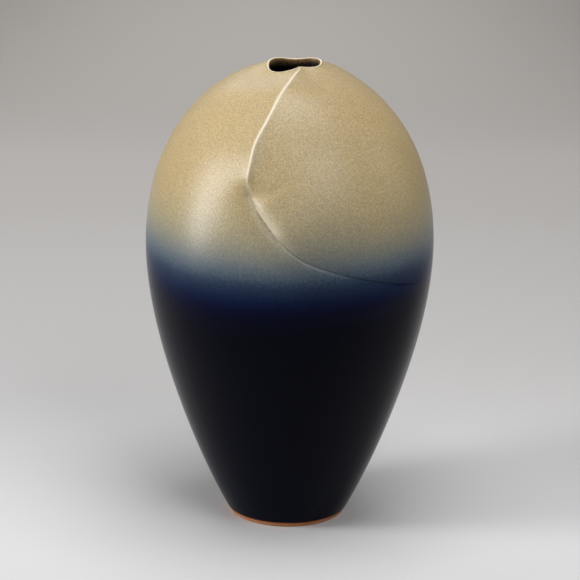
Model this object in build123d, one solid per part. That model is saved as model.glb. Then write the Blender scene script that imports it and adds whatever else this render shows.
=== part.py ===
from build123d import *

import math
import os
from functools import lru_cache

# A closed-in stoneware vase: egg-shaped body on a bare foot ring, a small lobed mouth, and one fold
# pressed into the shoulder. Millimetres, +Z up, origin at the centre of the foot's underside.
# Angles go round the axis in degrees, counter-clockwise from +X; the fold faces -Y.

# ---------------------------------------------------------------- body, outside of the glaze
foot_radius = 47.5
foot_flare = 0.54  # outward run of the wall for each millimetre of rise, at the foot
belly_radius = 117.0
belly_height = 231.0
crown_height = 381.1  # where the shoulder's curve would close if there were no mouth
shoulder_fullness = 0.068  # how much fuller the shoulder is than an ellipse

# ---------------------------------------------------------------- mouth and lip
mouth_x = 2.5  # the mouth's centre, a little off the vase's axis
mouth_y = -1.0
mouth_half_width = 22.8
mouth_half_depth = 18.5
mouth_squareness = 2.4  # exponent of the outline: 2 is an ellipse
mouth_pinch = 9.0  # how far the fold pushes the lip inwards
mouth_pinch_angle = -58.0
mouth_pinch_spread = 34.0
lip_drop = 3.3  # from the crown down to the middle of the wavy lip's outer edge
lip_waves = ((1, 1.9, 58.0), (2, 0.7, -41.0), (3, 1.1, 31.0))  # waves round, size, crest angle
lip_thickness = 2.4
neck_depth = 5.5  # the mouth's upright inner wall, below the lip
collar_radius = 66.0  # inside this radius the round shoulder turns into the mouth's outline
collar_rise = 1.0  # the upturn of the shoulder at the lip
collar_reach = 4.0

# ---------------------------------------------------------------- clay and glaze
wall_thickness = 6.0
floor_thickness = 8.0
foot_ring_height = 6.0
foot_ring_width = 9.0
foot_bevel = 0.8
corner_thickening = 6.0  # the rounded corner between floor and wall, inside
corner_height = 12.0
glaze_thickness = 0.5
liner_thickness = 0.4
bare_band = 4.5  # unglazed clay above the foot's underside
wall_joint_height = 190.0  # where the upper wall is luted onto the lower wall

# ---------------------------------------------------------------- the fold
# The crest's route: angle, and height as a share of the rise from belly to crown.
fold_route = (
    (-66.0, 0.986),
    (-88.5, 0.969),
    (-95.3, 0.925),
    (-99.5, 0.865),
    (-103.1, 0.784),
    (-106.9, 0.685),
    (-107.8, 0.580),
    (-107.4, 0.445),
    (-98.9, 0.290),
    (-85.2, 0.120),
    (-63.3, 0.003),
    (-45.8, -0.066),
    (-31.0, -0.108),
)
# Along the route, as (share of it run, millimetres).
fold_height = ((0.0, 1.0), (0.12, 4.0), (0.3, 5.0), (0.56, 0.8), (0.7, 0.0), (1.0, 0.0))
fold_press = ((0.37, 0.0), (0.42, 6.0), (0.48, 6.0), (0.62, 0.0))  # a finger's dent across the crest
fold_swell = ((0.38, 0.0), (0.47, 0.8), (0.62, 2.4), (0.85, 0.8), (1.0, 0.0))  # on its left
fold_step = ((0.34, 0.0), (0.5, 0.0), (0.6, 0.6), (0.8, 1.0), (1.0, 0.3))  # down, on its right
fold_recovery = ((0.3, 28.0), (0.36, 14.0), (0.42, 10.0), (0.54, 10.0), (0.7, 12.0), (1.0, 10.0))
fold_pillow = ((0.42, 0.0), (0.47, 2.1), (0.54, 2.7), (0.7, 0.0))  # on its right, beside the dent
pillow_place = 9.0  # how far from the crest the pillow stands highest
fold_reach = 20.0  # how far the left side takes to come back to the round body
press_reach_left = 6.0  # the same for the dent
press_reach_right = 8.0
swell_place = 22.0  # how far beside the crest the swell is highest
fold_edge = 3.0  # half width of the step between the two sides
fold_width = 62.0  # distance from the crest at which the fold has died out
fold_fade = 18.0  # height above the wall joint over which the fold comes in


def smooth(share):
    """Ease from 0 to 1 as share goes from 0 to 1, flat at both ends."""
    share = min(max(share, 0.0), 1.0)
    return share**3 * (share * (share * 6 - 15) + 10)


def between(table, at):
    """Value of a table of (place, value) pairs at a place, eased from pair to pair."""
    for (low, start), (high, end) in zip(table, table[1:]):
        if at <= high:
            share = max(0.0, (at - low) / (high - low))
            return start + (end - start) * share * share * (3 - 2 * share)
    return table[-1][1]


# ---------------------------------------------------------------- round body
dome_rise = crown_height - belly_height


def body_radius(height):
    """Outer radius of the round body, without fold or mouth."""
    if height >= belly_height:
        rise = min((height - belly_height) / dome_rise, 1.0)
        flat = 1 - rise * rise
        return belly_radius * math.sqrt(flat) * (1 + shoulder_fullness * rise * rise * flat)
    # A quartic from belly to foot: the shoulder's curvature at the belly, the set flare at the foot.
    fall = 1 - height / belly_height
    taper = belly_radius - foot_radius
    second = belly_radius * (1 - 2 * shoulder_fullness) * (belly_height / dome_rise) ** 2 / 2
    fourth = foot_flare * belly_height + second - 3 * taper
    third = taper - second - fourth
    return belly_radius - fall**2 * (second + third * fall + fourth * fall**2)


def body_slope(height):
    """How fast the radius grows with height."""
    step = 0.01
    return (body_radius(height + step) - body_radius(height - step)) / (2 * step)


def shoulder_height(radius):
    """Height at which the shoulder has this radius."""
    low, high = belly_height, crown_height
    for _ in range(40):
        middle = (low + high) / 2
        if body_radius(middle) > radius:
            low = middle
        else:
            high = middle
    return low


def on_body(degrees, height):
    """Point on the round body."""
    turn = math.radians(degrees)
    radius = body_radius(height)
    return (radius * math.cos(turn), radius * math.sin(turn), height)


# ---------------------------------------------------------------- fold
def curve_through(points, samples):
    """Smooth curve through points (Catmull-Rom), with as many samples in each span."""
    before = tuple(2 * a - b for a, b in zip(points[0], points[1]))
    after = tuple(2 * a - b for a, b in zip(points[-1], points[-2]))
    line = (before, *points, after)
    curve = []
    for span in zip(line, line[1:], line[2:], line[3:]):
        for step in range(samples):
            t = step / samples
            weights = (
                t * (-1 + t * (2 - t)) / 2,
                (2 + t * t * (3 * t - 5)) / 2,
                t * (1 + t * (4 - 3 * t)) / 2,
                t * t * (t - 1) / 2,
            )
            curve.append(tuple(sum(w * p for w, p in zip(weights, axis)) for axis in zip(*span)))
    curve.append(points[-1])
    return curve


crest = [on_body(angle, belly_height + share * dome_rise) for angle, share in curve_through(fold_route, 8)]
crest_run = [0.0]
for start, end in zip(crest, crest[1:]):
    crest_run.append(crest_run[-1] + math.dist(start, end))


def place_on_crest(x, y, z):
    """Distance from the crest, positive on its upper right, and the share of the route run there."""
    best = (math.inf, 0.0, 0.0)
    for index, ((ax, ay, az), (bx, by, bz)) in enumerate(zip(crest, crest[1:])):
        dx, dy, dz = bx - ax, by - ay, bz - az
        px, py, pz = x - ax, y - ay, z - az
        share = (px * dx + py * dy + pz * dz) / (dx * dx + dy * dy + dz * dz)
        share = min(max(share, 0.0), 1.0)
        qx, qy, qz = px - share * dx, py - share * dy, pz - share * dz
        distance = math.sqrt(qx * qx + qy * qy + qz * qz)
        if distance < best[0]:
            side = (dy * qz - dz * qy) * x + (dz * qx - dx * qz) * y
            run = crest_run[index] + share * (crest_run[index + 1] - crest_run[index])
            best = (distance, side, run)
    distance, side, run = best
    return math.copysign(distance, side), run / crest_run[-1]


@lru_cache(maxsize=None)
def fold_lift(degrees, height):
    """How far the fold lifts the wall off the round body."""
    fade = smooth((height - wall_joint_height) / fold_fade)
    if fade == 0.0:
        return 0.0
    distance, run = place_on_crest(*on_body(degrees, height))
    fade *= 1 - smooth(abs(distance) / fold_width)
    off = abs(distance)
    crest_height = between(fold_height, run)
    swell = between(fold_swell, run) * off / swell_place * math.exp(1 - off / swell_place)
    press = between(fold_press, run)
    outer = crest_height * math.exp(-off / fold_reach) - press * math.exp(-off / press_reach_left) + swell
    inner = (crest_height - between(fold_step, run)) * math.exp(-off / between(fold_recovery, run))
    inner -= press * math.exp(-off / press_reach_right)
    inner += between(fold_pillow, run) * off / pillow_place * math.exp(1 - off / pillow_place)
    return fade * (outer + (inner - outer) * smooth(0.5 + distance / (2 * fold_edge)))


# ---------------------------------------------------------------- mouth
mouth_radius = (mouth_half_width + mouth_half_depth) / 2
mouth_level = shoulder_height(mouth_radius)


def mouth_reach(degrees):
    """Distance from the mouth's centre to the lip's outer edge."""
    turn = math.radians(degrees)
    across = abs(math.cos(turn) / mouth_half_width) ** mouth_squareness
    deep = abs(math.sin(turn) / mouth_half_depth) ** mouth_squareness
    off = (degrees - mouth_pinch_angle + 180) % 360 - 180
    pinch = mouth_pinch * math.exp(-((off / mouth_pinch_spread) ** 2))
    return (across + deep) ** (-1 / mouth_squareness) - pinch


def lip_level(degrees):
    """Height of the lip's outer edge all round."""
    waves = (size * math.cos(math.radians(count * (degrees - at))) for count, size, at in lip_waves)
    return crown_height - lip_drop + sum(waves)


def at_mouth(degrees, inset, rise):
    """Point near the lip: inwards from its outer edge, and up from it."""
    turn = math.radians(degrees)
    reach = mouth_reach(degrees) - inset
    return (mouth_x + reach * math.cos(turn), mouth_y + reach * math.sin(turn), lip_level(degrees) + rise)


# ---------------------------------------------------------------- points in the wall
def in_wall(degrees, height, depth):
    """Point under the glaze's face: level with it below the belly, square to the shoulder above."""
    turn = math.radians(degrees)
    slope = body_slope(height)
    lift = fold_lift(degrees, height)
    if height <= belly_height:
        radius = body_radius(height) + lift - depth * math.hypot(1, slope)
        return (radius * math.cos(turn), radius * math.sin(turn), height)
    along = (lift - depth) / math.hypot(1, slope)
    x, y, z = on_body(degrees, height)
    outward = (along * math.cos(turn), along * math.sin(turn), -along * slope)
    outside = body_radius(height) - mouth_radius
    blend = smooth(1 - outside / (collar_radius - mouth_radius))
    upturn = collar_rise * (math.exp(-max(outside, 0.0) / collar_reach) - 1)
    lobed = at_mouth(degrees, -outside, height - mouth_level + upturn)
    return tuple(a + (b - a) * blend + c for a, b, c in zip((x, y, z), lobed, outward))


def on_lip(degrees, turn_over, depth):
    """Point on the rounded lip: turn_over is 0 outside, 90 on top and 180 on the mouth's inner wall."""
    half = lip_thickness / 2
    over = math.radians(turn_over)
    size = half - depth
    return at_mouth(degrees, half - size * math.cos(over), size * math.sin(over))


def in_corner(degrees, height, depth, floor):
    """Point on the inside of the lower wall, which thickens where it meets a floor at this height."""
    thickening = corner_thickening * max(0.0, 1 - (height - floor) / corner_height) ** 2
    return in_wall(degrees, height, depth + thickening)


# ---------------------------------------------------------------- closed sections and skins
FINE_STEP, COARSE_STEP = 2.0, 8.0
FINE_START, FINE_END = -138.0, -12.0


def spread(low, high, spacing):
    """Evenly spaced values from low to high, both ends in, at most spacing apart."""
    count = max(1, math.ceil(abs(high - low) / spacing - 1e-9))
    return [low + (high - low) * k / count for k in range(count + 1)]


# A section's points lie closer together on the side that has the fold.
ANGLES = spread(FINE_START, FINE_END, FINE_STEP)[:-1] + spread(FINE_END, FINE_START + 360, COARSE_STEP)[:-1]
PARAMETERS = [math.radians(angle - FINE_START) for angle in ANGLES] + [2 * math.pi]


def section(place):
    """Closed smooth curve through place(angle), with the same parameters in every section."""
    return Wire([Edge.make_spline([place(a) for a in ANGLES], periodic=True, parameters=PARAMETERS)])


def circle(radius, height):
    turns = [math.radians(a) for a in ANGLES]
    points = [(radius * math.cos(t), radius * math.sin(t), height) for t in turns]
    return Wire([Edge.make_spline(points, periodic=True, parameters=PARAMETERS)])


class Skin:
    """The faces through rows of closed sections, each row going on from the end of the last."""

    def __init__(self, *rows):
        self.faces = []
        for row in rows:
            self.faces += Shell.make_loft(row, ruled=len(row) == 2).faces()
        self.start = rows[0][0]
        self.end = rows[-1][-1]


def flat_ring(outer, inner):
    """Level face between two closed sections."""
    return Face(outer, [inner])


def closed_solid(*parts):
    """Solid bounded by skins and level faces."""
    faces = []
    for part in parts:
        faces += part.faces if isinstance(part, Skin) else [part]
    return Solid(Shell(faces))


# ---------------------------------------------------------------- where the sections lie
clay_face = glaze_thickness
liner_face = clay_face + wall_thickness
inside_face = liner_face + liner_thickness
floor_underside = foot_ring_height
floor_top = floor_underside + floor_thickness
waist_heights = spread(wall_joint_height, belly_height, 3.5)
crown_radii = spread(0.8 * collar_radius, mouth_radius, 4.5)
crown_heights = [shoulder_height(radius) for radius in crown_radii]
dome_heights = spread(belly_height, crown_heights[0], 3.5)
lower_heights = spread(floor_top, wall_joint_height, 30.0)
corner_rises = spread(0.0, corner_height, 3.0)
inner_heights = [height for height in reversed(lower_heights) if height > floor_top + 1.5 * corner_height]


LIP_TURNS = (60.0, 90.0, 135.0, 180.0)  # round the lip: 0 outside, 90 on top, 180 on its inner wall


def at_heights(heights, depth):
    return [section(lambda a, h=h: in_wall(a, h, depth)) for h in heights]


def up_to_lip(depth):
    """Rows of sections from the belly up the shoulder, on over the crown, then round the lip."""
    dome = at_heights(dome_heights, depth)
    crown = dome[-1:] + at_heights(crown_heights[1:], depth)
    lip = [section(lambda a, t=t: on_lip(a, t, depth)) for t in LIP_TURNS]
    return dome, crown, crown[-1:] + lip


def neck_foot(depth):
    """Section at the foot of the mouth's upright inner wall."""
    return section(lambda a: at_mouth(a, lip_thickness - depth, -neck_depth))


def under_shoulder(depth, neck):
    """Rows of sections from the foot of the mouth's wall out under the crown, then down to the joint."""
    inset = 7 * lip_thickness / 8 - (depth - liner_face)
    drop = neck_depth + lip_thickness / 4 + depth - liner_face
    corner = section(lambda a: at_mouth(a, inset, -drop))
    clear = mouth_radius + lip_thickness
    crown = at_heights([height for height in reversed(crown_heights) if body_radius(height) > clear], depth)
    heights = waist_heights + dome_heights[1:-1]
    return [neck, corner] + crown, crown[-1:] + at_heights(reversed(heights), depth)


def down_to_floor(heights, depth, floor):
    """Sections down the inside of the lower wall to a floor."""
    levels = heights + [floor + rise for rise in reversed(corner_rises)]
    return [section(lambda a, h=h: in_corner(a, h, depth, floor)) for h in levels]


# ---------------------------------------------------------------- faces that pieces share
# Clay under the outside glaze, from the foot up.
ring_side = Skin(at_heights([bare_band, floor_underside], clay_face))
floor_side = Skin(at_heights([floor_underside, floor_top], clay_face))
lower_side = Skin(at_heights(lower_heights, clay_face))
waist_side = Skin(at_heights(waist_heights, clay_face))
shoulder_side = Skin(*up_to_lip(clay_face))
neck_side = Skin([shoulder_side.end, neck_foot(clay_face)])

# Clay under the glaze inside, from the mouth down.
inner_shoulder = Skin(*under_shoulder(liner_face, neck_side.end))
inner_lower = Skin(down_to_floor(inner_heights, liner_face, floor_top))

# The ash glaze meets the inside glaze at the foot of the mouth's upright wall.
ash_foot = neck_foot(0.0)
glaze_meeting = Skin([ash_foot, neck_side.end])


# ---------------------------------------------------------------- the pieces
def foot_ring():
    """The bare turned ring that the vase stands on."""
    hole = foot_radius - foot_ring_width
    bore = Skin([circle(hole, 0.0), circle(hole, floor_underside)])
    sole = section(lambda a: in_wall(a, 0.0, clay_face + foot_bevel))
    bevel = Skin([sole] + at_heights([foot_bevel], clay_face))
    band = Skin(at_heights([foot_bevel, bare_band], clay_face))
    underside = flat_ring(bevel.start, bore.start)
    top = flat_ring(ring_side.end, bore.end)
    return closed_solid(bore, bevel, band, ring_side, underside, top)


def base_floor():
    """The disc that closes the vase, standing on the foot ring."""
    return closed_solid(Face(floor_side.start), floor_side, Face(floor_side.end))


def lower_wall():
    """The thrown wall from the floor to the joint under the belly."""
    root = flat_ring(lower_side.start, inner_lower.end)
    joint = flat_ring(lower_side.end, inner_lower.start)
    return closed_solid(root, lower_side, joint, inner_lower)


def upper_wall():
    """The closed-in shoulder with the fold and the mouth, luted onto the lower wall."""
    joint = flat_ring(waist_side.start, inner_shoulder.end)
    return closed_solid(joint, waist_side, shoulder_side, neck_side, inner_shoulder)


def cobalt_glaze_coat():
    """The dark blue glaze outside, from the bare foot to the belly."""
    low = at_heights([bare_band] + lower_heights, 0.0)
    face = Skin(low, low[-1:] + at_heights(waist_heights[1:], 0.0))
    bottom = flat_ring(face.start, ring_side.start)
    top = flat_ring(face.end, waist_side.end)
    return closed_solid(bottom, face, top, ring_side, floor_side, lower_side, waist_side)


def ash_glaze_coat():
    """The sandy glaze outside, from the belly over the shoulder and the lip."""
    face = Skin(*up_to_lip(0.0))
    neck = Skin([face.end, ash_foot])
    bottom = flat_ring(face.start, shoulder_side.start)
    return closed_solid(bottom, face, neck, glaze_meeting, neck_side, shoulder_side)


def liner_glaze_coat():
    """The glaze inside, from the mouth's inner wall down to and over the floor."""
    upper = Skin(*under_shoulder(inside_face, ash_foot))
    lower = Skin(down_to_floor(inner_heights, inside_face, floor_top + liner_thickness))
    clay_contact = (inner_shoulder, inner_lower, Face(inner_lower.end))
    return closed_solid(glaze_meeting, upper, lower, Face(lower.end), *clay_contact)


PIECES = (
    foot_ring,
    base_floor,
    lower_wall,
    upper_wall,
    cobalt_glaze_coat,
    ash_glaze_coat,
    liner_glaze_coat,
)

os.makedirs("parts", exist_ok=True)
for piece in PIECES:
    export_step(piece(), f"parts/{piece.__name__}.step")
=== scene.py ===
import math

import bpy
import numpy as np
from mathutils import Matrix, Vector


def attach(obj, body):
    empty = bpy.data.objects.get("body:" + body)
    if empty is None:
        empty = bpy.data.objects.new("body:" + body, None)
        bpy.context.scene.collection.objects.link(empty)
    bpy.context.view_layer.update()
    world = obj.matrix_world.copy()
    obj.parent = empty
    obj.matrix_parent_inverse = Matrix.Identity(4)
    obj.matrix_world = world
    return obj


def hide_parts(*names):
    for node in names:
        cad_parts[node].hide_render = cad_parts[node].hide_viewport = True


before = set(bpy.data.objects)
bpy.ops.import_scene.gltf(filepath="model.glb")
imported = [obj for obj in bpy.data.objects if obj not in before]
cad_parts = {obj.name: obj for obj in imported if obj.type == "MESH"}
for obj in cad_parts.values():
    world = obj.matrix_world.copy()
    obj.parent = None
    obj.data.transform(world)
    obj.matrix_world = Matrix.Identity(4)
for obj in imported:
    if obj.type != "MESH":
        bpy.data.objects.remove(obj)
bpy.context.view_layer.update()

# A closed-in stoneware vase with a lobed mouth, a fold pressed into its shoulder, and a sprayed glaze
# that turns from dark blue to sand at the belly. Sizes below are millimetres, made metres by build().
# Angles go round the axis in degrees, counter-clockwise from +X; the fold faces -Y.
MM = 0.001

# ---------------------------------------------------------------- sizes, as in the part's source
# Only the lip's height, which is a hair lower so that the mesh stays inside the part's box, and the
# fold's finest relief differ from it.
FOOT_RADIUS, FOOT_FLARE = 47.5, 0.54
BELLY_RADIUS, BELLY_HEIGHT = 117.0, 231.0
CROWN_HEIGHT, SHOULDER_FULLNESS = 381.1, 0.068
MOUTH_X, MOUTH_Y = 2.5, -1.0
MOUTH_HALF_WIDTH, MOUTH_HALF_DEPTH, MOUTH_SQUARENESS = 22.8, 18.5, 2.4
MOUTH_PINCH, PINCH_ANGLE, PINCH_SPREAD = 9.0, -58.0, 34.0
LIP_HEIGHT, LIP_THICKNESS, NECK_DEPTH = 377.78, 2.4, 5.5
LIP_WAVES = ((1, 1.9, 58.0), (2, 0.7, -41.0), (3, 1.1, 31.0))
COLLAR_RADIUS, COLLAR_RISE, COLLAR_REACH = 66.0, 1.0, 4.0
WALL, FLOOR_THICKNESS, RING_HEIGHT, RING_WIDTH, FOOT_BEVEL = 6.0, 8.0, 6.0, 9.0, 0.8
CORNER_THICKENING, CORNER_HEIGHT = 6.0, 12.0
GLAZE, LINER, BARE_BAND, WALL_JOINT = 0.5, 0.4, 4.5, 190.0
CLAY_GAP = 0.2  # keeps the clay's faces just clear of the glaze's
CREST_CLEARANCE, CREST_SPREAD = 3.0, 12.0  # the clay stays deeper under the fold's sharp crest

# The crest of the fold: angle, and height as a share of the rise from belly to crown.
FOLD_ROUTE = (
    (-66.0, 0.986), (-88.5, 0.969), (-95.3, 0.925), (-99.5, 0.865), (-103.1, 0.784), (-106.9, 0.685),
    (-107.8, 0.580), (-107.4, 0.445), (-98.9, 0.290), (-85.2, 0.120), (-63.3, 0.003), (-45.8, -0.066),
    (-31.0, -0.108),
)
# Tables along the route, as (share of it run, millimetres). The left side is lifted by the crest's
# height, a swell beside it and a narrow bead along its edge; the right side starts a step lower, comes
# back to the round body over the recovery, and stands up in a pillow. The press dents both sides.
FOLD_HEIGHT = ((0.0, 1.0), (0.12, 4.0), (0.3, 5.0), (0.56, 0.8), (0.7, 0.0), (1.0, 0.0))
FOLD_SWELL = ((0.38, 0.0), (0.47, 0.8), (0.62, 2.38), (0.85, 0.8), (1.0, 0.0))
FOLD_BEAD = ((0.05, 0.0), (0.22, 0.6), (0.34, 1.57), (0.39, 0.5), (0.43, 0.0))
FOLD_STEP = ((0.34, 0.0), (0.5, 0.0), (0.6, 0.6), (0.8, 1.0), (1.0, 0.3))
FOLD_RECOVERY = ((0.12, 28.0), (0.34, 8.0), (0.6, 8.0), (0.7, 12.0), (1.0, 10.0))
FOLD_PILLOW = ((0.42, 0.0), (0.47, 2.1), (0.54, 2.7), (0.7, 0.0))
FOLD_PRESS = ((0.37, 0.0), (0.42, 6.0), (0.48, 6.0), (0.62, 0.0))
# How far from the crest each of these dies out or stands highest, millimetres.
FOLD_REACH, BEAD_REACH, PRESS_REACH_LEFT, PRESS_REACH_RIGHT = 20.0, 4.5, 6.0, 6.0
SWELL_PLACE, PILLOW_PLACE, FOLD_WIDTH, FOLD_EDGE, FOLD_FADE = 22.0, 9.0, 62.0, 0.7, 18.0
# How strongly the glaze shows pale where it runs thin over the crest, which is partly a painted
# highlight;
# a painted highlight in the recess on its right, standing in for the key lamp's reflection there; and
# dark where it pools under the edge, which is partly painted shade; and where these marks lie and how
# wide they are.
FOLD_THIN_AND_HIGHLIGHT = ((0.0, 0.75), (0.32, 0.7), (0.38, 0.3), (0.46, 0.12), (0.68, 0.1), (0.8, 0.0))
FOLD_PAINTED_HIGHLIGHT = ((0.42, 0.0), (0.47, 0.42), (0.52, 0.42), (0.57, 0.0))
FOLD_POOL_AND_SHADE = ((0.54, 0.0), (0.6, 0.3), (0.7, 0.4), (0.82, 0.7), (0.96, 0.7), (1.0, 0.0))
THIN_HIGHLIGHT_PLACE, THIN_HIGHLIGHT_WIDTH, POOL_SHADE_PLACE, POOL_SHADE_WIDTH, PAINTED_HIGHLIGHT_WIDTH, PAINTED_HIGHLIGHT_FALL = -0.4, 1.1, 0.8, 0.6, 7.0, 1.5

DOME_RISE = CROWN_HEIGHT - BELLY_HEIGHT


def smooth(share):
    share = np.clip(share, 0.0, 1.0)
    return share**3 * (share * (share * 6 - 15) + 10)


def between(table, at):
    """Value of a table of (place, value) pairs at each place, eased from pair to pair."""
    value = np.full(np.shape(at), table[0][1], float)
    for (low, start), (high, end) in zip(table, table[1:]):
        share = np.clip((at - low) / (high - low), 0.0, 1.0)
        value = np.where(at > low, start + (end - start) * share * share * (3 - 2 * share), value)
    return value


def body_radius(height):
    """Outer radius of the round body, without fold or mouth."""
    rise = np.clip((height - BELLY_HEIGHT) / DOME_RISE, 0.0, 1.0)
    flat = 1 - rise * rise
    shoulder = BELLY_RADIUS * np.sqrt(flat) * (1 + SHOULDER_FULLNESS * rise * rise * flat)
    fall = 1 - np.minimum(height, BELLY_HEIGHT) / BELLY_HEIGHT
    taper = BELLY_RADIUS - FOOT_RADIUS
    second = BELLY_RADIUS * (1 - 2 * SHOULDER_FULLNESS) * (BELLY_HEIGHT / DOME_RISE) ** 2 / 2
    fourth = FOOT_FLARE * BELLY_HEIGHT + second - 3 * taper
    third = taper - second - fourth
    return shoulder - fall**2 * (second + third * fall + fourth * fall**2)


def body_slope(height):
    return (body_radius(height + 0.01) - body_radius(height - 0.01)) / 0.02


def at_radius(degrees, radius, height):
    turn = np.radians(degrees)
    return np.stack([radius * np.cos(turn), radius * np.sin(turn), height + 0 * turn], -1)


def on_body(degrees, height):
    return at_radius(degrees, body_radius(height), height)


# ---------------------------------------------------------------- the fold
def curve_through(points, samples):
    """Smooth curve through points (Catmull-Rom)."""
    points = np.array(points)
    line = np.vstack([2 * points[0] - points[1], points, 2 * points[-1] - points[-2]])
    t = np.linspace(0, 1, samples, endpoint=False)[:, None]
    spans = [
        t * (-1 + t * (2 - t)) / 2 * a
        + (2 + t * t * (3 * t - 5)) / 2 * b
        + t * (1 + t * (4 - 3 * t)) / 2 * c
        + t * t * (t - 1) / 2 * d
        for a, b, c, d in zip(line, line[1:], line[2:], line[3:])
    ]
    return np.vstack(spans + [points[-1:]])


ROUTE = curve_through(FOLD_ROUTE, 20)
CREST = on_body(ROUTE[:, 0], BELLY_HEIGHT + ROUTE[:, 1] * DOME_RISE)
CREST_STEP = CREST[1:] - CREST[:-1]
CREST_RUN = np.append(0.0, np.cumsum(np.linalg.norm(CREST_STEP, axis=1)))


def place_on_crest(points):
    """Distance of each point from the crest, positive on its upper right, and the share of route run."""
    distance, run = np.empty(len(points)), np.empty(len(points))
    for k in range(0, len(points), 4000):
        here = points[k : k + 4000]
        away = here[:, None] - CREST[None, :-1]
        share = np.einsum("psi,si->ps", away, CREST_STEP) / (CREST_STEP**2).sum(1)
        share = np.clip(share, 0.0, 1.0)
        away -= share[:, :, None] * CREST_STEP
        apart = np.linalg.norm(away, axis=2)
        best = apart.argmin(1)
        row = np.arange(len(here))
        side = np.cross(CREST_STEP[best], away[row, best])
        side = side[:, 0] * here[:, 0] + side[:, 1] * here[:, 1]
        distance[k : k + 4000] = np.copysign(apart[row, best], side)
        step = CREST_RUN[best + 1] - CREST_RUN[best]
        run[k : k + 4000] = CREST_RUN[best] + share[row, best] * step
    return distance, run / CREST_RUN[-1]


def fold_lift(degrees, height):
    """How far the fold lifts the wall off the round body, how far each point is from its crest, and a
    mark:
    above 0 where the glaze is sparse and pale over the crest, partly a painted highlight, and in the
    painted highlight of the recess on its right; below 0 where it pools dark under the edge, partly
    painted shade."""
    degrees, height = np.broadcast_arrays(degrees, height)
    fade = smooth((height - WALL_JOINT) / FOLD_FADE)
    lift, apart, glaze_and_painted_light = np.zeros(height.shape), np.full(height.shape, 999.0), np.zeros(height.shape)
    near = fade > 0
    if near.any():
        distance, run = place_on_crest(on_body(degrees[near], height[near]))
        off = abs(distance)
        crest = between(FOLD_HEIGHT, run)
        swell = between(FOLD_SWELL, run) * off / SWELL_PLACE * np.exp(1 - off / SWELL_PLACE)
        bead = between(FOLD_BEAD, run) * np.exp(-off / BEAD_REACH)
        press = between(FOLD_PRESS, run)
        outer = crest * np.exp(-off / FOLD_REACH) - press * np.exp(-off / PRESS_REACH_LEFT)
        outer = outer + swell + bead
        inner = (crest - between(FOLD_STEP, run)) * np.exp(-off / between(FOLD_RECOVERY, run))
        inner += bead * (1 - smooth(off / (2 * BEAD_REACH))) - press * np.exp(-off / PRESS_REACH_RIGHT)
        inner += between(FOLD_PILLOW, run) * off / PILLOW_PLACE * np.exp(1 - off / PILLOW_PLACE)
        shape = outer + (inner - outer) * smooth(0.5 + distance / (2 * FOLD_EDGE))
        lift[near] = fade[near] * (1 - smooth(off / FOLD_WIDTH)) * shape
        apart[near] = off
        # A painted highlight on the recess right of the crest, in place of the key lamp's reflection.
        painted_highlight = np.where(distance > 0, np.exp(-((off / PAINTED_HIGHLIGHT_WIDTH) ** PAINTED_HIGHLIGHT_FALL)), 0.0)
        # A pale line over the crest: partly glaze running thin, partly a painted highlight.
        glaze_and_painted_light[near] = between(FOLD_THIN_AND_HIGHLIGHT, run) * np.exp(-(((distance - THIN_HIGHLIGHT_PLACE) / THIN_HIGHLIGHT_WIDTH) ** 2))
        glaze_and_painted_light[near] += between(FOLD_PAINTED_HIGHLIGHT, run) * painted_highlight
        # A dark line under the edge: partly pooled glaze, partly painted shade.
        glaze_and_painted_light[near] -= between(FOLD_POOL_AND_SHADE, run) * np.exp(-(((distance - POOL_SHADE_PLACE) / POOL_SHADE_WIDTH) ** 2))
    return lift, apart, glaze_and_painted_light


# ---------------------------------------------------------------- the mouth
MOUTH_RADIUS = (MOUTH_HALF_WIDTH + MOUTH_HALF_DEPTH) / 2


def shoulder_height(radius):
    low, high = BELLY_HEIGHT, CROWN_HEIGHT
    for _ in range(40):
        middle = (low + high) / 2
        low, high = (middle, high) if body_radius(middle) > radius else (low, middle)
    return low


MOUTH_LEVEL = shoulder_height(MOUTH_RADIUS)


def at_mouth(degrees, inset, rise):
    """Point near the lip: inwards from its outer edge, and up from it."""
    turn = np.radians(degrees)
    across = abs(np.cos(turn) / MOUTH_HALF_WIDTH) ** MOUTH_SQUARENESS
    deep = abs(np.sin(turn) / MOUTH_HALF_DEPTH) ** MOUTH_SQUARENESS
    off = (degrees - PINCH_ANGLE + 180) % 360 - 180
    pinch = MOUTH_PINCH * np.exp(-((off / PINCH_SPREAD) ** 2))
    reach = (across + deep) ** (-1 / MOUTH_SQUARENESS) - pinch - inset
    level = LIP_HEIGHT + sum(s * np.cos(np.radians(n * (degrees - at))) for n, s, at in LIP_WAVES)
    return np.stack([MOUTH_X + reach * np.cos(turn), MOUTH_Y + reach * np.sin(turn), level + rise], -1)


def in_wall(degrees, height, depth):
    """Point under the glaze's face: level with it below the belly, square to the shoulder above."""
    degrees, height = np.broadcast_arrays(degrees, np.asarray(height, float))
    slope = body_slope(height)
    lift = fold_lift(degrees, height)[0]
    below = at_radius(degrees, body_radius(height) + lift - depth * np.hypot(1, slope), height)
    along = (lift - depth) / np.hypot(1, slope)
    outward = at_radius(degrees, along, -along * slope)
    outside = body_radius(height) - MOUTH_RADIUS
    blend = smooth(1 - outside / (COLLAR_RADIUS - MOUTH_RADIUS))[..., None]
    upturn = COLLAR_RISE * (np.exp(-np.maximum(outside, 0.0) / COLLAR_REACH) - 1)
    lobed = at_mouth(degrees, -outside, height - MOUTH_LEVEL + upturn)
    above = on_body(degrees, height) * (1 - blend) + lobed * blend + outward
    return np.where((height <= BELLY_HEIGHT)[..., None], below, above)


# ---------------------------------------------------------------- meshes from rows of rings
def spread(low, high, spacing):
    return np.linspace(low, high, max(1, math.ceil(abs(high - low) / spacing - 1e-9)) + 1)


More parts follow.
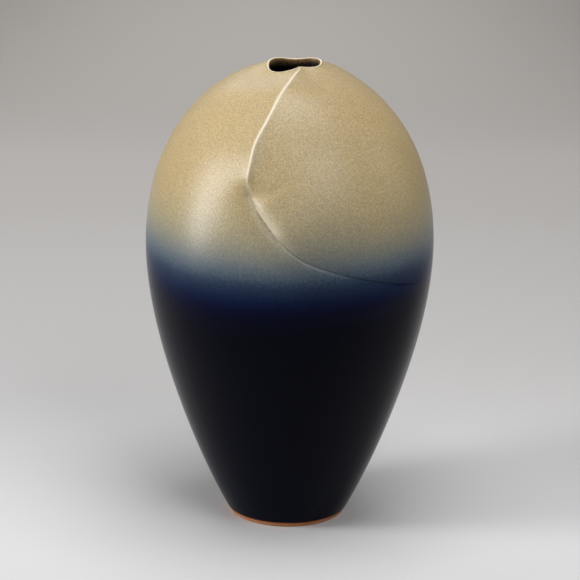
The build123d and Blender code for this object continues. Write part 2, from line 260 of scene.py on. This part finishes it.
def columns(fine, coarse):
    """Angles once round, closer together on the side that has the fold."""
    return np.concatenate([spread(-142.0, -6.0, fine)[:-1], spread(-6.0, 218.0, coarse)[:-1]])


def along_profile(low, high, spacing):
    """Heights from low to high, evenly spaced along the wall's profile."""
    heights = np.linspace(low, high, 4000)
    run = np.append(0.0, np.cumsum(np.hypot(np.diff(heights), np.diff(body_radius(heights)))))
    return np.interp(spread(0.0, run[-1], spacing), run, heights)


def build(
    name,
    rows,
    nodes,
    material,
    close_start=False,
    close_end=False,
    loop=False,
    normals=None,
    marks=(),
):
    """A piece from rows of rings, one ring inside the next, riding on the body in place of CAD nodes."""
    rows = np.asarray(rows)
    count, around = rows.shape[:2]
    index = np.arange(count * around).reshape(count, around)
    turned = np.roll(index, -1, 1)
    pairs = list(zip(range(count - 1), range(1, count))) + ([(count - 1, 0)] if loop else [])
    quads = np.concatenate([np.stack([index[a], turned[a], turned[b], index[b]], -1) for a, b in pairs])
    faces = quads.tolist()
    verts = rows.reshape(-1, 3) * MM
    for end, ring, flip in ((close_start, index[0], True), (close_end, index[-1], False)):
        if end:
            faces.append(list(map(int, ring[::-1] if flip else ring)))
    mesh = bpy.data.meshes.new(name)
    mesh.from_pydata(verts.tolist(), [], faces)
    mesh.validate()
    mesh.shade_smooth()
    mesh.materials.append(material)
    if normals is not None:
        mesh.normals_split_custom_set_from_vertices(normals)
    for mark, values in dict(marks).items():
        mesh.attributes.new(mark, "FLOAT", "POINT").data.foreach_set("value", np.ravel(values))
    piece = bpy.data.objects.new(name, mesh)
    bpy.context.scene.collection.objects.link(piece)
    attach(piece, "root")
    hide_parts(*nodes)
    return piece


def ring_normals(rows):
    """Normal at each point of rows of rings that go up the outside."""
    up = np.gradient(rows, axis=0)
    round_ = np.roll(rows, -1, 1) - np.roll(rows, 1, 1)
    normal = np.cross(round_, up)
    return normal / np.linalg.norm(normal, axis=2, keepdims=True)


# ---------------------------------------------------------------- materials
def linear(red, green, blue):
    """Scene colour of a colour given in 0-255 display values."""
    share = [c / 255 for c in (red, green, blue)]
    return tuple(c / 12.92 if c <= 0.04045 else ((c + 0.055) / 1.055) ** 2.4 for c in share) + (1.0,)


class Material:
    """A node material, with a short way to add a node and wire its inputs."""

    def __init__(self, name, **shader):
        self.material = bpy.data.materials.new(name)
        self.material.use_nodes = True
        self.tree = self.material.node_tree
        self.shader = next(n for n in self.tree.nodes if n.type == "BSDF_PRINCIPLED")
        for socket, value in shader.items():
            self.shader.inputs[socket.replace("_", " ")].default_value = value
        self.place = self.add("TexCoord").outputs["Object"]

    def add(self, kind, inputs=(), **settings):
        node = self.tree.nodes.new("ShaderNode" + kind)
        for key, value in settings.items():
            setattr(node, key, value)
        for socket, value in dict(inputs).items():
            if isinstance(value, bpy.types.NodeSocket):
                self.tree.links.new(value, node.inputs[socket])
            else:
                node.inputs[socket].default_value = value
        return node

    def math(self, operation, *values, clamp=False):
        return self.add("Math", enumerate(values), operation=operation, use_clamp=clamp).outputs[0]

    def noise(self, per_metre, detail=2.0, rough=0.5, stretch=(1, 1, 1)):
        place = self.place
        if stretch != (1, 1, 1):
            place = self.add("Mapping", {"Vector": place, "Scale": stretch}).outputs[0]
        values = {"Vector": place, "Scale": per_metre, "Detail": detail, "Roughness": rough}
        return self.add("TexNoise", values).outputs["Fac"]

    def spots(self, per_metre, size):
        """1 in the middle of scattered round spots, 0 between them; size is a share of their spacing."""
        values = {"Vector": self.place, "Scale": per_metre, "Randomness": 1.0}
        far = self.add("TexVoronoi", values).outputs[0]
        return self.add("MapRange", {"Value": far, "From Min": size, "From Max": size * 0.4}).outputs[0]

    def mix(self, share, a, b, blend="MIX"):
        node = self.add("Mix", {"Factor": share}, data_type="RGBA", blend_type=blend)
        for socket, value in ((6, a), (7, b)):
            if isinstance(value, bpy.types.NodeSocket):
                self.tree.links.new(value, node.inputs[socket])
            else:
                node.inputs[socket].default_value = value
        return node.outputs[2]

    def ramp(self, value, stops):
        node = self.add("ValToRGB", {"Fac": value})
        band = node.color_ramp
        band.interpolation = "B_SPLINE"
        while len(band.elements) < len(stops):
            band.elements.new(0.5)
        for element, (position, colour) in zip(band.elements, stops):
            element.position = position
            element.color = colour
        return node.outputs[0]

    def scaled(self, value, low, high):
        """A 0-1 value turned into a factor between low and high."""
        return self.add("MapRange", {"Value": value, "To Min": low, "To Max": high}).outputs[0]

    def set(self, **sockets):
        for socket, value in sockets.items():
            self.tree.links.new(value, self.shader.inputs[socket.replace("_", " ")])

    def bump(self, height, millimetres):
        node = self.add("Bump", {"Height": height, "Strength": 1.0, "Distance": millimetres * MM})
        self.set(Normal=node.outputs[0])


# Heights above the foot, millimetres: the end of the glaze's colours, and where blue turns to sand.
GLAZE_TOP, SAND_FROM, SAND_FULL = 400.0, 212.0, 275.0
# Colour of the sprayed glaze by height above the foot, millimetres.
GLAZE_COLOURS = (
    (6, (8, 11, 24)),
    (70, (3, 4, 14)),
    (185, (2, 3, 12)),
    (197, (2, 4, 22)),
    (205, (3, 6, 31)),
    (211, (5, 13, 42)),
    (217, (12, 25, 54)),
    (222, (22, 36, 62)),
    (227, (32, 46, 69)),
    (231, (45, 58, 78)),
    (235, (64, 78, 92)),
    (240, (84, 94, 102)),
    (245, (100, 106, 108)),
    (250, (115, 117, 110)),
    (258, (136, 132, 113)),
    (267, (152, 142, 115)),
    (281, (168, 152, 116)),
    (300, (177, 157, 117)),
    (345, (183, 162, 121)),
    (385, (185, 164, 125)),
)


def sprayed_glaze(name):
    """Stoneware glaze: dark blue with a weak sheen low down, sand with a soft coat above, all grainy.

    It reads two marks from the mesh: "glaze_and_painted_light", above 0 where the glaze is sparse and
    pale, partly a painted highlight, and below 0 where it pools dark, partly painted shade; and
    "inward", which goes from 0 outside to 1 at the bottom of the neck, where the glaze darkens, partly
    as painted shade."""
    m = Material(name, Specular_IOR_Level=0.05, Coat_Roughness=0.36, Coat_IOR=1.5)
    height = m.add("SeparateXYZ", {"Vector": m.place}).outputs["Z"]
    # Blue turns to sand by height, along a line that wanders a little and breaks up into grain.
    drift = m.scaled(m.noise(9.0, 1.0), -0.006, 0.006)
    grain = m.scaled(m.noise(520.0, 3.0, 0.7), -0.007, 0.007)
    level = m.math("ADD", m.math("ADD", height, drift), grain)
    share = m.math("DIVIDE", level, GLAZE_TOP * MM)
    colour = m.ramp(share, [(z / GLAZE_TOP, linear(*c)) for z, c in GLAZE_COLOURS])
    rise = {"Value": height, "From Min": SAND_FROM * MM, "From Max": SAND_FULL * MM}
    sandy = m.add("MapRange", rise, interpolation_type="SMOOTHSTEP").outputs[0]
    # The sand is clouded and speckled, and drifts between warmer and cooler.
    cloud = m.scaled(m.noise(16.0, 3.0, 0.6), 0.92, 1.08)
    speck = m.scaled(m.noise(800.0, 3.0, 0.85), 0.0, 2.0)
    tone = m.math("MULTIPLY", cloud, speck)
    warm = m.noise(7.0, 2.0)
    tones = {0: m.scaled(warm, 0.95, 1.05), 1: 1.0, 2: m.scaled(warm, 1.12, 0.88)}
    tones = {socket: m.math("MULTIPLY", tone, tint) for socket, tint in tones.items()}
    toned = m.mix(1.0, colour, m.add("CombineColor", tones).outputs[0], "MULTIPLY")
    colour = m.mix(sandy, colour, toned)
    pinholes = m.math("MULTIPLY", m.spots(95.0, 0.05), sandy)
    colour = m.mix(m.math("MULTIPLY", pinholes, 0.6), colour, linear(70, 60, 46))
    # Pale where the glaze runs thin over the crest and the lip, partly a painted highlight, and a
    # painted highlight in the fold's recess; dark where it pools under the fold's edge, partly painted
    # shade.
    glaze_and_painted_light = m.add("Attribute", attribute_name="glaze_and_painted_light").outputs["Fac"]
    pale = m.mix(sandy, linear(96, 104, 100), linear(248, 240, 220))
    colour = m.mix(m.math("MULTIPLY", glaze_and_painted_light, 1.0, clamp=True), colour, pale)
    colour = m.mix(m.math("MULTIPLY", glaze_and_painted_light, -1.0, clamp=True), colour, linear(14, 16, 20))
    # Inside the mouth the glaze turns tan and then near black down the neck: partly a darker glaze,
    # partly painted shade.
    inward = m.add("Attribute", attribute_name="inward").outputs["Fac"]
    down = m.math("ADD", inward, m.scaled(m.noise(260.0, 3.0, 0.7), -0.3, 0.3))
    shades = ((0.2, (176, 138, 96)), (0.5, (120, 94, 60)), (0.72, (46, 36, 22)), (0.95, (10, 8, 6)))
    shades = m.ramp(down, [(place, linear(*c)) for place, c in shades])
    colour = m.mix(m.math("MULTIPLY", inward, 2.5, clamp=True), colour, shades)
    m.set(Base_Color=colour, Coat_Weight=m.scaled(sandy, 0.0, 0.7))
    m.set(Roughness=m.scaled(sandy, 0.2, 0.35))
    m.bump(m.noise(260.0, 2.0), 0.05)
    return m.material


def liner_glaze():
    """Dark brown glaze of the inside, uneven and half glossy, so dark that it is partly painted shade.
    """
    m = Material("liner_glaze", Specular_IOR_Level=0.4)
    tone = m.ramp(m.noise(30.0, 4.0), [(0.3, linear(16, 12, 8)), (0.7, linear(26, 20, 13))])
    m.set(Base_Color=tone, Roughness=m.scaled(m.noise(60.0), 0.3, 0.42))
    m.bump(m.noise(180.0, 3.0), 0.08)
    return m.material


BAND_SCALE = 8.0  # millimetres of height over which the bare clay's colours run


def fired_clay(name, stops, grit):
    """Unglazed clay with turning lines round it and a fine grit."""
    m = Material(name, Specular_IOR_Level=0.25)
    height = m.add("SeparateXYZ", {"Vector": m.place}).outputs["Z"]
    uneven = m.scaled(m.noise(120.0, 3.0), -0.14, 0.14)
    level = m.math("ADD", m.math("MULTIPLY", height, 1 / (BAND_SCALE * MM)), uneven)
    colour = m.ramp(level, [(place, linear(*c)) for place, c in stops])
    tone = m.scaled(m.noise(900.0, 3.0, 0.7), 0.8, 1.2)
    grey = m.add("CombineColor", {0: tone, 1: tone, 2: tone}).outputs[0]
    colour = m.mix(1.0, colour, grey, "MULTIPLY")
    m.set(Base_Color=colour, Roughness=m.scaled(m.noise(300.0), 0.62, 0.85))
    m.bump(m.math("ADD", m.noise(900.0, 4.0, 0.8), m.noise(60.0, 2.0, stretch=(1, 1, 25))), grit)
    return m.material


ash = sprayed_glaze("ash_glaze")
cobalt = sprayed_glaze("cobalt_glaze")
liner = liner_glaze()
# By height, as a share of BAND_SCALE: orange where the clay is bare, scorched just under the glaze.
orange = ((0.0, (176, 120, 78)), (0.35, (186, 124, 76)))
scorched = ((0.5, (150, 88, 48)), (0.6, (70, 38, 24)))
bare = fired_clay("bare_clay", orange + scorched, 0.12)
body = fired_clay("stoneware_body", ((0.0, (176, 150, 122)), (1.0, (166, 140, 112))), 0.1)

# ---------------------------------------------------------------- the pieces
around = columns(0.36, 2.5)
low_rows = spread(BARE_BAND, WALL_JOINT, 3.0)
waist_rows = spread(WALL_JOINT, BELLY_HEIGHT, 0.7)
dome_rows = along_profile(BELLY_HEIGHT, MOUTH_LEVEL, 0.7)
body_rows = np.concatenate([low_rows, waist_rows[1:], dome_rows[1:]])
lip_turns = np.radians(spread(20.0, 180.0, 10.0))
half_lip = LIP_THICKNESS / 2

outside = [in_wall(around, z, 0.0) for z in body_rows]
lip = [at_mouth(around, half_lip - half_lip * math.cos(t), half_lip * math.sin(t)) for t in lip_turns]
neck = [at_mouth(around, LIP_THICKNESS, -drop) for drop in spread(0.0, NECK_DEPTH, 1.0)[1:]]
skin = np.array(outside + lip + neck)
shade = ring_normals(skin)
meeting = len(low_rows) + len(waist_rows) - 2

# Marks for the glaze: pale where it runs thin over the crest and the lip, partly a painted highlight,
# with the fold's painted highlight and shade; and the inside of the mouth, which darkens partly as
# painted shade.
# The lip is placed by its turn in radians, from its outer side at 0 over its top to its inner side.
LIP_THIN_HIGHLIGHT_AT, LIP_THIN_HIGHLIGHT_SPREAD, INWARD_FROM, INWARD_AT_NECK = 1.7, 0.45, 1.9, 0.45
glaze_and_painted_light = [fold_lift(around, np.float64(z))[2] for z in body_rows]
# The pale line round the lip's top: partly glaze running thin, partly a painted highlight.
lip_thin_and_highlight = np.exp(-(((lip_turns - LIP_THIN_HIGHLIGHT_AT) / LIP_THIN_HIGHLIGHT_SPREAD) ** 2))
glaze_and_painted_light += [np.full(len(around), share) for share in lip_thin_and_highlight]
glaze_and_painted_light += [np.zeros(len(around)) for row in neck]
glaze_and_painted_light = np.array(glaze_and_painted_light)
inward = np.zeros(glaze_and_painted_light.shape)
over_lip = INWARD_AT_NECK * smooth(lip_turns - INWARD_FROM)
down_neck = np.linspace(INWARD_AT_NECK, 1.0, len(neck) + 1)[1:]
inward[len(body_rows) :] = np.concatenate([over_lip, down_neck])[:, None]

# The coat's rounded lower edge, as (depth, height above the bare band), and where its face begins.
EDGE, FACE_FROM = ((GLAZE, 0.0), (0.3, 0.02), (0.15, 0.1), (0.05, 0.25)), 0.5
edge = np.array([in_wall(around, BARE_BAND + up, depth) for depth, up in EDGE])
edge_normals = ring_normals(np.concatenate([edge, skin[:3]]))[: len(edge)]
low_skin = skin[: meeting + 1].copy()
low_skin[0] = in_wall(around, BARE_BAND + FACE_FROM, 0.0)
build(
    "cobalt_glaze",
    np.concatenate([edge, low_skin]),
    ["cobalt_glaze_coat"],
    cobalt,
    normals=np.concatenate([edge_normals, shade[: meeting + 1]]).reshape(-1, 3),
    marks={"glaze_and_painted_light": np.concatenate([np.zeros(edge.shape[:2]), glaze_and_painted_light[: meeting + 1]])},
)
build(
    "ash_glaze",
    skin[meeting:],
    ["ash_glaze_coat"],
    ash,
    normals=shade[meeting:].reshape(-1, 3),
    marks={"glaze_and_painted_light": glaze_and_painted_light[meeting:], "inward": inward[meeting:]},
)

# Inside, from the foot of the mouth's upright wall out under the shoulder and down to the floor.
inside = columns(2.0, 4.0)
liner_face = GLAZE + WALL
clay_face, clay_back = GLAZE + CLAY_GAP, liner_face - CLAY_GAP
floor_top = RING_HEIGHT + FLOOR_THICKNESS
under = along_profile(BELLY_HEIGHT, shoulder_height(MOUTH_RADIUS + LIP_THICKNESS), 3.0)[::-1]
down = spread(BELLY_HEIGHT, floor_top + CORNER_HEIGHT, 4.0)[1:]


def inner_rows(depth, floor):
    """Rows down the wall's inside at a depth under the glaze's face, thicker at the floor's corner."""
    drop = -NECK_DEPTH - LIP_THICKNESS / 4 - depth + liner_face
    rows = [at_mouth(inside, 7 * LIP_THICKNESS / 8, drop)]
    rows += [in_wall(inside, z, depth) for z in np.concatenate([under, down])]
    for rise in spread(CORNER_HEIGHT, 0.0, 1.5)[1:]:
        thicker = CORNER_THICKENING * (1 - rise / CORNER_HEIGHT) ** 2
        rows.append(in_wall(inside, floor + rise, depth + thicker))
    return rows


liner_skin = [at_mouth(inside, LIP_THICKNESS, -NECK_DEPTH)]
liner_skin += inner_rows(liner_face + LINER, floor_top + LINER)
build("liner_glaze", liner_skin[::-1], ["liner_glaze_coat"], liner, close_start=True)

# The clay between the glazes: kept clear under the fold's sharp crest.
clay_rows = np.concatenate([spread(WALL_JOINT, BELLY_HEIGHT, 4.0)[:-1], under[::-1]])
from_crest = np.array([fold_lift(inside, np.float64(z))[1] for z in clay_rows])
clay_depth = clay_face + CREST_CLEARANCE * np.exp(-((from_crest / CREST_SPREAD) ** 2))
outer_clay = [in_wall(inside, z, depth) for z, depth in zip(clay_rows, clay_depth)]
inner_clay = [in_wall(inside, z, clay_back) for z in clay_rows[::-1]]
build("upper_wall_clay", outer_clay + inner_clay, ["upper_wall"], body, loop=True)

low_clay = [in_wall(inside, z, clay_face) for z in spread(floor_top, WALL_JOINT, 6.0)]
low_inner = [row for row in inner_rows(clay_back, floor_top) if row[0, 2] <= WALL_JOINT + 1e-6]
low_inner = [in_wall(inside, WALL_JOINT, clay_back)] + low_inner
build("lower_wall_clay", low_clay + low_inner, ["lower_wall"], body, loop=True)

disc = [in_wall(inside, z, clay_face) for z in (RING_HEIGHT, floor_top)]
build("floor_clay", disc, ["base_floor"], body, close_start=True, close_end=True)

# The foot ring, as (radius, height) from its bore round the sole, then its outer band.
bore = FOOT_RADIUS - RING_WIDTH
sole = body_radius(0.0) - GLAZE - FOOT_BEVEL
section = [(bore, RING_HEIGHT), (bore, 1.0), (bore + 0.3, 0.3), (bore + 1.0, 0.0)]
section += [(sole - 0.6, 0.0), (sole - 0.1, 0.1), (sole + 0.4, 0.35)]
ring = [at_radius(around, radius, height) for radius, height in section]
ring += [in_wall(around, z, GLAZE) for z in (0.8, 1.4, 2.5, 3.5, 4.4, 5.2, RING_HEIGHT)]
build("foot_ring_clay", ring, ["foot_ring"], bare, loop=True)

# ---------------------------------------------------------------- floor, light and camera
# A sheet of pale paper that lies flat, sweeps up behind the pot and stands upright. All in metres: its
# front edge, the end of its flat part, the radius of its bend, its top, and half its width.
FRONT, FLAT_TO, SWEEP_RADIUS, TOP, HALF_WIDTH = -2.6, 0.9, 0.9, 3.0, 1.5
# Its tone changes slowly from front to top, measured as y + z, as painted light and shade: brightest on
# the floor just before the pot, darker towards the front edge and up the backdrop. Its far corners are
# darker as painted shade.
TONES_FROM, TONES_TO, CORNERS_FROM, CORNERS_TO, CORNERS_RATE = -0.8, 2.6, 1.1, 1.5, 4.2
BACKDROP_PAINTED_LIGHT = (
    (0.0, (196, 196, 196)),
    (0.18, (218, 218, 219)),
    (0.22, (224, 223, 224)),
    (0.31, (204, 203, 203)),
    (0.4, (204, 202, 201)),
    (0.5, (208, 205, 203)),
    (0.56, (199, 195, 192)),
    (0.6, (192, 188, 184)),
    (0.68, (194, 189, 185)),
    (1.0, (172, 167, 163)),
)

stage = Material("backdrop", Roughness=0.9, Specular_IOR_Level=0.0)
spot = stage.add("SeparateXYZ", {"Vector": stage.place}).outputs
back = stage.math("ADD", spot["Y"], spot["Z"])
along = {"Value": back, "From Min": TONES_FROM, "From Max": TONES_TO}
share = stage.add("MapRange", along).outputs[0]
tone = stage.ramp(share, [(place, linear(*colour)) for place, colour in BACKDROP_PAINTED_LIGHT])
along = {"Value": back, "From Min": CORNERS_FROM, "From Max": CORNERS_TO, "To Max": CORNERS_RATE}
far = stage.add("MapRange", along).outputs[0]
# Painted shade: the far corners of the backdrop are darkened.
corner_shade = stage.math("MULTIPLY", stage.math("POWER", spot["X"], 2.0), far, clamp=True)
tone = stage.mix(corner_shade, tone, linear(150, 146, 142))
mottle = stage.scaled(stage.noise(3.0, 2.0), 0.0, 0.06)
stage.set(Base_Color=stage.mix(mottle, tone, linear(190, 188, 186)))
# Seen from behind or from below the backdrop is clear, so that it never hides the pot.
clear = stage.add("BsdfTransparent").outputs[0]
turned = stage.add("NewGeometry").outputs["Backfacing"]
seen = stage.add("MixShader", {0: turned, 1: stage.shader.outputs[0], 2: clear}).outputs[0]
surface = next(n for n in stage.tree.nodes if n.type == "OUTPUT_MATERIAL").inputs["Surface"]
stage.tree.links.new(seen, surface)
sweep = [(FRONT, 0.0), (FLAT_TO, 0.0)]
for bend in np.radians(spread(5, 90, 5)):
    sweep.append((FLAT_TO + SWEEP_RADIUS * math.sin(bend), SWEEP_RADIUS * (1 - math.cos(bend))))
sweep.append((FLAT_TO + SWEEP_RADIUS, TOP))
mesh = bpy.data.meshes.new("backdrop")
verts = [(side * HALF_WIDTH, y, z) for y, z in sweep for side in (-1, 1)]
mesh.from_pydata(verts, [], [(2 * k, 2 * k + 1, 2 * k + 3, 2 * k + 2) for k in range(len(sweep) - 1)])
mesh.shade_smooth()
mesh.materials.append(stage.material)
backdrop = bpy.data.objects.new("backdrop", mesh)
bpy.context.scene.collection.objects.link(backdrop)


def softbox(name, place, aim, width, height, watts):
    """A rectangular lamp at a place, turned towards what it aims at."""
    light = bpy.data.lights.new(name, "AREA")
    light.shape, light.size, light.size_y, light.energy = "RECTANGLE", width, height, watts
    lamp = bpy.data.objects.new(name, light)
    lamp.location = place
    lamp.rotation_euler = (Vector(aim) - Vector(place)).to_track_quat("-Z", "Y").to_euler()
    bpy.context.scene.collection.objects.link(lamp)


middle = (0.0, 0.0, 0.25)
softbox("key", (-1.70, -0.46, 0.62), middle, 0.5, 1.2, 29.0)
softbox("top", (0.1, -0.12, 2.02), middle, 1.3, 1.2, 22.0)
softbox("back", (-0.35, 1.5, 1.35), middle, 1.1, 0.6, 3.0)
softbox("fill", (0.9, -1.35, 1.4), middle, 1.3, 1.2, 16.0)
softbox("kicker", (1.7, 0.15, 0.87), middle, 0.7, 1.0, 1.5)

world = bpy.data.worlds.new("room")
world.use_nodes = True
# The room gives next to no light, but looks pale where no backdrop stands before it.
ROOM_LIGHT, ROOM_LOOK = 0.02, 0.45
nodes, links = world.node_tree.nodes, world.node_tree.links
room = nodes["Background"].inputs
room["Color"].default_value = (0.8, 0.82, 0.85, 1.0)
strength = nodes.new("ShaderNodeMath")
strength.operation = "MULTIPLY_ADD"
strength.inputs[1].default_value, strength.inputs[2].default_value = ROOM_LOOK, ROOM_LIGHT
links.new(nodes.new("ShaderNodeLightPath").outputs["Is Camera Ray"], strength.inputs[0])
links.new(strength.outputs[0], room["Strength"])
scene = bpy.context.scene
scene.world = world
scene.view_settings.view_transform = "Standard"

# The camera stands 2.45 m from the foot, 21.7 degrees above it, with a long lens.
away, height_angle = 2.45, math.radians(21.7008)
pitch, yaw, tilt = math.radians(17.4724), math.radians(0.0173), math.radians(0.6296)
look = Vector((math.sin(yaw) * math.cos(pitch), math.cos(yaw) * math.cos(pitch), -math.sin(pitch)))
right = look.cross(Vector((0, 0, 1))).normalized()
up = right.cross(look)
right, up = right * math.cos(tilt) + up * math.sin(tilt), up * math.cos(tilt) - right * math.sin(tilt)
camera = bpy.data.objects.new("camera", bpy.data.cameras.new("camera"))
camera.data.lens, camera.data.sensor_width = 181.1, 36.0
camera.data.clip_start, camera.data.clip_end = 0.1, 50.0
camera.matrix_world = Matrix((
    (right.x, up.x, -look.x, 0.0),
    (right.y, up.y, -look.y, -away * math.cos(height_angle)),
    (right.z, up.z, -look.z, away * math.sin(height_angle)),
    (0.0, 0.0, 0.0, 1.0),
))
scene.collection.objects.link(camera)
scene.camera = camera
